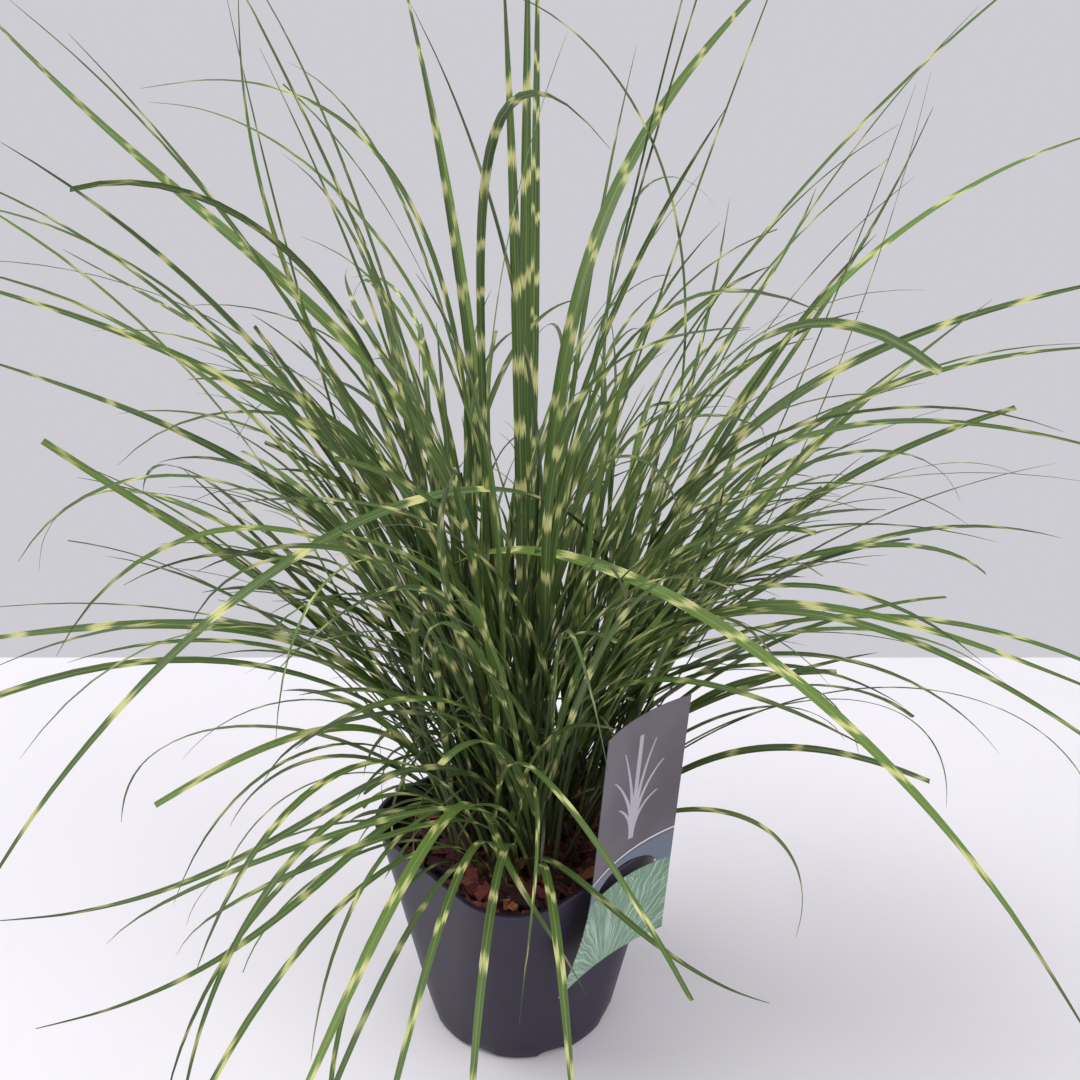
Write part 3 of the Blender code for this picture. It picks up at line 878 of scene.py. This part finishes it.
blade_nodes = sorted(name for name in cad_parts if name.startswith("blade_"))
culm_nodes = sorted(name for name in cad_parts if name.startswith("culm_"))
blade_lines = {name: blade_line(name) for name in blade_nodes}
culm_lines = {name: stem_line(name) for name in culm_nodes}
longest = max(line.length() for line in blade_lines.values())
print(len(blade_lines), "blades, the longest", round(longest, 3), "m;", len(culm_lines), "culms")

# %% [markdown]
# ## The finish of a zebra-banded blade
#
# The pale bands run across the blade, but they follow the veins, so their ends are ragged and
# the two halves of a blade seldom line up. The finish slides the band pattern along the blade
# by a different amount for each vein, then cuts it with a threshold. Over that come fine veins,
# a pale midrib, a darker dry tip and a few dry spots. The foot of every blade is darkened as
# painted shade of the crowded crown, blades with a high own number get painted shade all over,
# and some others are painted lighter as painted light.

# %% Blade finish
SHADED_FROM = 0.84               # blades whose own number is over this get painted shade all over
BAND_RATE = 124.0               # radians a metre, so a band every 5 cm or so
BAND_RATE_SPREAD = 26.0
BAND_LEVEL = 0.76               # a higher level cuts narrower bands
BAND_LEVEL_SPREAD = 0.09


def blade_material():
    """Green with ragged cream bands, veins, a pale midrib, a dark tip, painted shade at the foot.
    """
    leaf = Finish("zebra blade", Roughness=0.45, IOR=1.45)
    along = leaf.attribute("along")
    left = leaf.attribute("left")
    across = leaf.attribute("across")
    own = leaf.attribute("own")
    vein_place = leaf.vector(across * 7.0, along * 14.0, own * 37.0)
    slide = leaf.noise(vein_place, 1.0, 3.0, 0.6) - 0.5
    drift = leaf.noise(leaf.vector(along * 9.0, own * 91.0, 0.0), 1.0, 1.0) - 0.5
    half_shift = across.step(-0.06, 0.06) * (own * 53.0).sine() * 0.010
    slid = along + half_shift + slide * 0.026 + drift * 0.075
    wave = (slid * (own * 23.0).sine() * BAND_RATE_SPREAD + slid * BAND_RATE + own * 40.0).sine()
    wanted = (own * 71.0).sine() * BAND_LEVEL_SPREAD + BAND_LEVEL
    band = (wave - wanted).step(-0.05, 0.28)
    tone = leaf.noise(leaf.vector(along * 3.0, across * 0.8, own * 13.0), 4.0, 2.0)
    depth = (own * 17.0).sine() * 0.5 + 0.5
    deep = leaf.mix(depth, rgb(0.020, 0.048, 0.010), rgb(0.056, 0.106, 0.018))
    green = leaf.mix(tone.step(0.3, 0.7), deep, rgb(0.092, 0.158, 0.026))
    lit = (own * 29.0).sine().step(0.45, 0.9) * 0.5
    green = leaf.mix(lit, green, rgb(0.190, 0.310, 0.050))
    streaks = leaf.noise(leaf.vector(across * 13.0, along * 5.0, own * 7.0), 1.0, 3.0)
    green = leaf.mix(streaks.step(0.5, 0.8) * 0.35, green, rgb(0.150, 0.220, 0.062))
    cream = leaf.mix(streaks.step(0.35, 0.7), rgb(0.74, 0.70, 0.32), rgb(0.48, 0.51, 0.15))
    banded = leaf.mix(band * 0.95, green, cream)
    rib = 1 - abs(across).step(0.05, 0.17)
    ribbed = leaf.mix(rib * 0.22, banded, rgb(0.44, 0.52, 0.24))
    # Painted shade: the lowest part of each blade is darkened, as if shaded by the crowded crown.
    foot = 1 - along.step(0.01, 0.11)
    shaded_foot = leaf.mix(foot * 0.55, ribbed, rgb(0.048, 0.062, 0.030))
    dry_tip_and_shade = leaf.mix((1 - left.step(0.0, DRY_REACH)) * 0.75, shaded_foot, rgb(0.050, 0.060, 0.036))
    # Painted shade: blades with a high own number are darkened all over, half the fringe among
    # them.
    painted_shade = own.step(SHADED_FROM, SHADED_FROM + 0.08) * 0.5
    dry_tip_and_shade = leaf.mix(painted_shade, dry_tip_and_shade, rgb(0.045, 0.055, 0.038))
    dry_place = leaf.vector(across * 1.8, along * 34.0, own * 61.0)
    dry = leaf.noise(dry_place, 1.0, 3.0).step(0.72, 0.78)
    coloured = leaf.mix(dry * 0.75, dry_tip_and_shade, rgb(0.33, 0.14, 0.055))
    height = (across * 38.0).sine() * 0.4 + rib * 2.0 + streaks
    return leaf.feed(
        Base_Color=coloured,
        Roughness=streaks * 0.16 + dry * 0.2 + 0.42,
        Normal=leaf.bump(height, 0.35, 0.0003))


blade_finish = blade_material()
print("finish", blade_finish.name)

# %% Large blades
OWN_START = 0.317
OWN_STEP = 0.137

# Large blades keep own numbers below the range that gets painted shade.
for number, name in enumerate(blade_nodes):
    own = (OWN_STEP * number + OWN_START) % SHADED_FROM
    grass = new_grass()
    add_blade(grass, LARGE_BAR, blade_lines[name], own)
    blade = finish_piece(name.replace("blade", "large_blade"), grass, blade_finish)
    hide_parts(name)
print("large blades", len(blade_nodes))

# %% [markdown]
# ## Stems
#
# The clump is many shoots. Each is a slim round stem wrapped in sheaths, paler near the ground.
# The frame holds a dozen of them; the rest are grown by the same rule, close together at the
# crown and leaning further out towards the edge of the tuft.

# %% Stem finish
stem_finish_maker = Finish("green stem", Roughness=0.5)
stem_run = stem_finish_maker.attribute("along")
stem_own = stem_finish_maker.attribute("own")
stem_noise = stem_finish_maker.noise(stem_finish_maker.place(), 160.0, 3.0)
stem_tone = stem_finish_maker.mix(stem_own, rgb(0.030, 0.050, 0.016), rgb(0.078, 0.110, 0.032))
stem_low = 1 - stem_run.step(0.0, 0.10)
stem_foot = stem_finish_maker.mix(stem_low, stem_tone, rgb(0.105, 0.090, 0.056))
stem_spots = stem_noise.step(0.6, 0.8) * 0.4
stem_ruddy = stem_finish_maker.mix(stem_spots, stem_foot, rgb(0.13, 0.055, 0.030))
stem_finish = stem_finish_maker.feed(
    Base_Color=stem_ruddy, Normal=stem_finish_maker.bump(stem_noise, 0.3, 0.0004))

STEM_OWN_STEP = 0.31

for number, name in enumerate(culm_nodes):
    grass = new_grass()
    add_stem(grass, STEM_BAR, culm_lines[name], STEM_OWN_STEP * number % 1.0)
    stem = finish_piece(name.replace("culm", "stem"), grass, stem_finish, sharp=60)
    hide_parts(name)
print("stems", len(culm_nodes))

# %% [markdown]
# ## Growing the rest of the clump
#
# A blade leaves its shoot at nearly the shoot's own lean and bends over more and more towards
# its tip. So its angle from vertical follows a power of its length: a firm blade keeps its
# direction and drops late, a limp one droops from the start. Blades that would pass through the
# pot's wall, the label or the table are drawn again.

# %% The bending rule
LINE_STEPS = 20
CROWN = MULCH - 4 * MM
label_low, label_high = (Vector(corner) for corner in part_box("plant_label"))
KEEP_IN = 4 * MM                # inside the frame's box
ABOVE_TABLE = 10 * MM
INSIDE_WALL = 10 * MM           # clearances from the pot's rim
OUTSIDE_WALL = 6 * MM
OVER_RIM = 5 * MM
BEFORE_LABEL = 12 * MM          # clearances from the label
BEHIND_LABEL = 6 * MM
BESIDE_LABEL = 8 * MM
OVER_LABEL = 4 * MM
CUT_END = 0.6                   # width at a blade's end over its full width
POINTED_END = 0.05


def width_profile(share, blunt):
    """Half-width share along a blade: narrow at the sheath, widest early, tapering late."""
    rise = 0.45 + 0.55 * np.sin(np.minimum(share / 0.3, 1.0) * math.pi / 2)
    fall = 1 - (1 - blunt) * np.clip((share - 0.58) / 0.42, 0, 1) ** 1.8
    return rise * fall


def bent_line(foot, azimuth, lean, end_lean, power, length, width, turn, swerve, blunt):
    """A blade's line from the bending rule; angles in radians."""
    share = np.linspace(0, 1, LINE_STEPS + 1)
    middle = (share[1:] + share[:-1]) / 2
    lean_at = lean + (end_lean - lean) * middle ** power
    heading = azimuth + swerve * middle ** 2
    step = length / LINE_STEPS
    moves = np.stack([
        np.sin(lean_at) * np.cos(heading),
        np.sin(lean_at) * np.sin(heading),
        np.cos(lean_at)], axis=1) * step
    centres = np.vstack([[foot], foot + np.cumsum(moves, axis=0)])
    heading_at = azimuth + swerve * share ** 2
    flat = np.stack([-np.sin(heading_at), np.cos(heading_at), share * 0], axis=1)
    tangents = unit(np.gradient(centres, axis=0))
    normals = np.cross(tangents, flat)
    roll = (turn * share)[:, None]
    sides = flat * np.cos(roll) - normals * np.sin(roll)
    return Line(centres, sides, width / 2 * width_profile(share, blunt))


def draw_end(draws, cut_share):
    """How blunt a blade's end is; a share of the blades were cut straight."""
    return CUT_END if draws.random() < cut_share else POINTED_END


def is_clear(line):
    """True if a line keeps clear of the pot, the label and the table, and inside the frame."""
    x, y, z = line.centres.T
    low, high = cad_box
    if z[1:].min() < ABOVE_TABLE or z.max() > high[2] - KEEP_IN:
        return False
    if x.min() < low[0] + KEEP_IN or x.max() > high[0] - KEEP_IN:
        return False
    if y.min() < low[1] + KEEP_IN or y.max() > high[1] - KEEP_IN:
        return False
    half = RIM_SIDE / 2
    reach = np.maximum(np.abs(x), np.abs(y))
    if np.any((reach > half - INSIDE_WALL) & (reach < half + OUTSIDE_WALL) & (z < RIM + OVER_RIM)):
        return False
    if np.any((reach <= half - INSIDE_WALL) & (z < CROWN)):
        return False
    outer_half = np.arange(len(z)) > LINE_STEPS / 2
    if np.any((reach < half) & (z < RIM) & outer_half):
        return False
    near_label = (y < label_high.y + BEHIND_LABEL) & (y > label_low.y - BEFORE_LABEL)
    beside = (x > label_low.x - BESIDE_LABEL) & (x < label_high.x + BESIDE_LABEL)
    return not np.any(near_label & beside & (z < label_high.z + OVER_LABEL))


print("rule ready, frame box", [round(value, 3) for value in cad_box[1]])

# %% [markdown]
# ## Shoots
#
# A shoot is a stem with several blades on alternate sides. The stem's foot is drawn inside the
# crown, and its lean grows with its distance from the middle, which gives the tuft its fan.

# %% Grow shoots
SHOOTS = 72
CROWN_REACH = 0.046
SHOOTS_PER_PIECE = 4
STEM_HEIGHT = (0.10, 0.27)
STEM_HALVES_MM = (1.7, 0.9)     # at the foot and at the top
BLADES_PER_SHOOT = (4, 5)
BLADE_LENGTH = (0.12, 0.50, 0.22)       # least, most and most usual
BLADE_END_LEAN = (22, 175, 88)
BLADE_WIDTH_MM = (2.0, 7.2, 3.8)
SHOOT_FOLD = (0.15, 0.5)
TRIES = 12                      # for a blade that stays clear
DROOP_LEVEL = 0.34              # few blades have their tips below this
DROOP_SHARE = 0.08
shoot_draws = random.Random(5)


def grow_shoot(stems, blades, draws):
    """One stem with its blades, added to two bmeshes."""
    share = math.sqrt(draws.random())
    azimuth = draws.uniform(-math.pi, math.pi)
    foot = np.array([
        CROWN_REACH * share * math.cos(azimuth), CROWN_REACH * share * math.sin(azimuth), CROWN])
    outward = azimuth + draws.gauss(0, 0.35)
    lean = math.radians(3 + 13 * share + draws.gauss(0, 3.5))
    height = draws.uniform(*STEM_HEIGHT) * (1.15 - 0.35 * share)
    stem = bent_line(
        foot, outward, lean, end_lean=lean * 1.5, power=1.5, length=height, width=1, turn=0,
        swerve=0, blunt=1)
    stem.halves = np.linspace(*STEM_HALVES_MM, len(stem.halves)) * MM * draws.uniform(0.7, 1.1)
    if not is_clear(stem):
        return 0
    own = draws.random()
    add_stem(stems, STEM_BAR, stem, own)
    grown = 0
    count = draws.randint(*BLADES_PER_SHOOT)
    for leaf in range(count):
        at = (leaf + draws.uniform(0.2, 0.9)) / count
        start, tangent, _, _ = stem.at(np.array([min(at, 0.98)]))
        away = outward + (leaf % 2 * 2 - 1) * draws.uniform(0.2, 1.3)
        stem_lean = math.acos(min(1.0, tangent[0][2]))
        for _ in range(TRIES):
            length = draws.triangular(*BLADE_LENGTH) * (0.75 + 0.5 * at)
            end_lean = math.radians(draws.triangular(*BLADE_END_LEAN))
            line = bent_line(
                start[0], away, stem_lean * 0.8 + draws.triangular(0.0, 0.5, 0.04), end_lean,
                power=draws.uniform(1.2, 2.8), length=length,
                width=draws.triangular(*BLADE_WIDTH_MM) * MM,
                turn=draws.uniform(-1.3, 1.3), swerve=draws.gauss(0, 0.5),
                blunt=draw_end(draws, 0.16))
            droops = line.centres[-1][2] < DROOP_LEVEL
            if is_clear(line) and not (droops and draws.random() > DROOP_SHARE):
                add_blade(blades, SMALL_BAR, line, draws.random(), draws.uniform(*SHOOT_FOLD))
                grown += 1
                break
    return grown


blades_grown = 0
shoots_grown = 0
piece_number = 0
while shoots_grown < SHOOTS:
    piece_number += 1
    stems, blades = new_grass(), new_grass()
    here = 0
    while here < SHOOTS_PER_PIECE:
        grown = grow_shoot(stems, blades, shoot_draws)
        if grown:
            here += 1
            blades_grown += grown
    shoots_grown += here
    finish_piece(f"shoot_stems_{piece_number:02d}", stems, stem_finish)
    finish_piece(f"shoot_blades_{piece_number:02d}", blades, blade_finish)
print(shoots_grown, "shoots with", blades_grown, "blades")

# %% [markdown]
# ## Blades with a place of their own
#
# Some blades stand out singly: a tall one that leans one way and arches back the other, steep
# thin ones, long thin arcs. Their lean, drop and length are given in the table below.
# After them come a fan to each side, the blades that hang over the front of the pot, and bent
# and curled scraps low in the tuft, all drawn at random and only kept where they are clear.

# %% Single blades
class Single(NamedTuple):
    """A blade given one by one (degrees, metres)."""
    azimuth: float
    foot: float
    lean: float
    end_lean: float
    power: float
    length: float
    width: float
    swerve: float


SINGLES = (
    Single(-42, 0.022, 16, -80, 3.5, 0.64, 0.0060, 0.0),
    Single(-38, 0.030, 34, 8, 1.2, 0.58, 0.0032, 0.1),
    Single(-50, 0.026, 27, 14, 1.0, 0.56, 0.0034, -0.1),
    Single(-42, 0.034, 40, 165, 1.5, 0.50, 0.0030, 0.0),
    Single(-30, 0.038, 44, 175, 1.4, 0.44, 0.0026, 0.3),
    Single(-20, 0.030, 30, 115, 1.8, 0.52, 0.0034, 0.0),
    Single(138, 0.020, 14, 105, 2.4, 0.66, 0.0034, 0.0),
    Single(130, 0.024, 20, 8, 1.0, 0.60, 0.0026, 0.0),
    Single(126, 0.030, 28, 170, 2.6, 0.52, 0.0036, -0.2),
    Single(142, 0.012, 6, 24, 1.4, 0.56, 0.0044, 0.0),
    Single(-60, 0.010, 4, -30, 2.0, 0.58, 0.0042, 0.0),
    Single(160, 0.012, 5, -24, 2.0, 0.56, 0.0040, 0.0),
    Single(20, 0.014, 8, 30, 1.6, 0.58, 0.0050, 0.0),
    Single(70, 0.012, 7, 40, 2.0, 0.60, 0.0040, 0.0),
    Single(-42, -0.030, 10, 17, 1.0, 0.66, 0.0055, 0.0),
    Single(-44, -0.020, 13, 20, 1.2, 0.65, 0.0050, 0.0),
    Single(-38, -0.004, 6, 15, 1.0, 0.67, 0.0058, 0.0),
    Single(138, -0.026, 11, 28, 1.4, 0.66, 0.0046, 0.0),
    Single(134, -0.018, 15, 42, 1.4, 0.62, 0.0050, 0.1),
    Single(142, 0.004, 12, 50, 1.8, 0.64, 0.0044, 0.0),
    Single(150, 0.010, 16, 70, 2.2, 0.60, 0.0050, 0.0),
    Single(-46, 0.010, 15, 44, 2.4, 0.62, 0.0050, 0.0),
    Single(44, 0.018, 6, 12, 1.0, 0.66, 0.0085, 0.0),
    Single(-120, 0.006, 3, -14, 1.5, 0.60, 0.0075, 0.0),
    Single(-42, 0.012, 10, 60, 3.0, 0.56, 0.0046, -0.2),
    Single(128, -0.010, 4, 90, 3.0, 0.62, 0.0040, 0.0),
)
single_draws = random.Random(3)


def crown_point(azimuth, radius, z=CROWN):
    return np.array([radius * math.cos(azimuth), radius * math.sin(azimuth), z])


singles = new_grass()
kept = 0
for single in SINGLES:
    azimuth = math.radians(single.azimuth)
    line = bent_line(
        crown_point(azimuth, single.foot), azimuth, math.radians(single.lean),
        math.radians(single.end_lean), single.power, single.length, single.width,
        turn=0.5, swerve=single.swerve, blunt=POINTED_END)
    if is_clear(line):
        add_blade(singles, LARGE_BAR, line, single_draws.random())
        kept += 1
finish_piece("single_blades", singles, blade_finish)
print("single blades", kept, "of", len(SINGLES))

# %% Side fans
RIGHT_FAN = 18
RIGHT_AZIMUTH = -42             # degrees, as the camera sees it
LEFT_FAN = 8
LEFT_AZIMUTH = 138
LOOSE_FOLD = (0.15, 0.4)


def grow_until(count, draw_line, bm, bar, draws, own_range=(0.0, 1.0)):
    """Draws lines until enough of them are clear, and adds a blade along each."""
    added = 0
    while added < count:
        line = draw_line(draws)
        if is_clear(line):
            add_blade(bm, bar, line, draws.uniform(*own_range), draws.uniform(*LOOSE_FOLD))
            added += 1


def fan_line(draws, towards, lean, end_lean):
    """A blade that leans well out and bows over, in a fan about one azimuth."""
    azimuth = math.radians(towards) + draws.gauss(0, 0.5)
    foot = crown_point(azimuth, draws.uniform(0.015, 0.045), draws.uniform(CROWN, 0.22))
    return bent_line(
        foot, azimuth, lean * draws.uniform(0.4, 1.25), end_lean * draws.uniform(0.7, 1.3),
        power=draws.uniform(0.9, 1.8), length=draws.uniform(0.26, 0.47),
        width=draws.triangular(3.0, 7.5, 4.8) * MM, turn=draws.uniform(-0.9, 0.9),
        swerve=draws.gauss(0, 0.3), blunt=draw_end(draws, 0.15))


fans = new_grass()
grow_until(
    RIGHT_FAN, lambda draws: fan_line(draws, RIGHT_AZIMUTH, lean=0.62, end_lean=1.9),
    fans, SMALL_BAR, random.Random(31))
grow_until(
    LEFT_FAN, lambda draws: fan_line(draws, LEFT_AZIMUTH, lean=0.50, end_lean=1.7),
    fans, SMALL_BAR, random.Random(32))
finish_piece("side_fans", fans, blade_finish)
print("side fans", RIGHT_FAN + LEFT_FAN)

# %% Blades over the front of the pot
FRONT = math.radians(-132)
FRINGE = 20
FRINGE_OWN = (0.78, 0.91)       # half of them get painted shade all over


def fringe_line(draws):
    """A limp blade from the front of the crown, which hangs over the rim."""
    azimuth = FRONT + draws.gauss(0, 0.9)
    foot = crown_point(azimuth, draws.uniform(0.030, 0.052))
    return bent_line(
        foot, azimuth + draws.gauss(0, 0.45), lean=draws.uniform(0.1, 0.5),
        end_lean=draws.uniform(2.1, 3.0), power=draws.uniform(0.7, 1.6),
        length=draws.uniform(0.22, 0.42), width=draws.triangular(2.2, 6.0, 3.4) * MM,
        turn=draws.uniform(-0.8, 0.8), swerve=draws.gauss(0, 0.9),
        blunt=draw_end(draws, 0.2))


fringe = new_grass()
grow_until(FRINGE, fringe_line, fringe, SMALL_BAR, random.Random(21), FRINGE_OWN)
finish_piece("front_fringe", fringe, blade_finish)
print("front fringe", FRINGE)

# %% Scraps and curls
SCRAPS = 90
CURLS = 16
SCRAP_END = 0.7                 # as CUT_END, for a broken end
CURL_END = 0.2


def scrap_line(draws):
    """A short broken blade, caught between the others."""
    azimuth = draws.uniform(-math.pi, math.pi)
    foot = crown_point(azimuth, draws.uniform(0.020, 0.060), draws.uniform(0.15, 0.27))
    return bent_line(
        foot, azimuth + draws.gauss(0, 0.8), lean=draws.uniform(0.1, 0.9),
        end_lean=draws.uniform(1.2, 3.6), power=draws.uniform(0.5, 1.6),
        length=draws.uniform(0.035, 0.13), width=draws.uniform(1.6, 4.8) * MM,
        turn=draws.uniform(-2.0, 2.0), swerve=draws.gauss(0, 0.8),
        blunt=draws.choice((POINTED_END, SCRAP_END)))


def curl_line(draws):
    """A dry shaving, which curls right round."""
    azimuth = draws.uniform(-math.pi, math.pi)
    foot = crown_point(azimuth, draws.uniform(0.020, 0.060), draws.uniform(0.16, 0.32))
    return bent_line(
        foot, azimuth, lean=draws.uniform(0.2, 1.0), end_lean=draws.uniform(4.0, 7.5),
        power=draws.uniform(0.9, 1.8), length=draws.uniform(0.08, 0.16),
        width=draws.uniform(0.7, 1.5) * MM, turn=draws.uniform(-3.0, 3.0),
        swerve=draws.uniform(-2.0, 2.0), blunt=CURL_END)


scraps = new_grass()
grow_until(SCRAPS, scrap_line, scraps, SMALL_BAR, random.Random(8))
grow_until(CURLS, curl_line, scraps, SMALL_BAR, random.Random(9))
finish_piece("scraps_and_curls", scraps, blade_finish)
print("scraps", SCRAPS, "curls", CURLS)
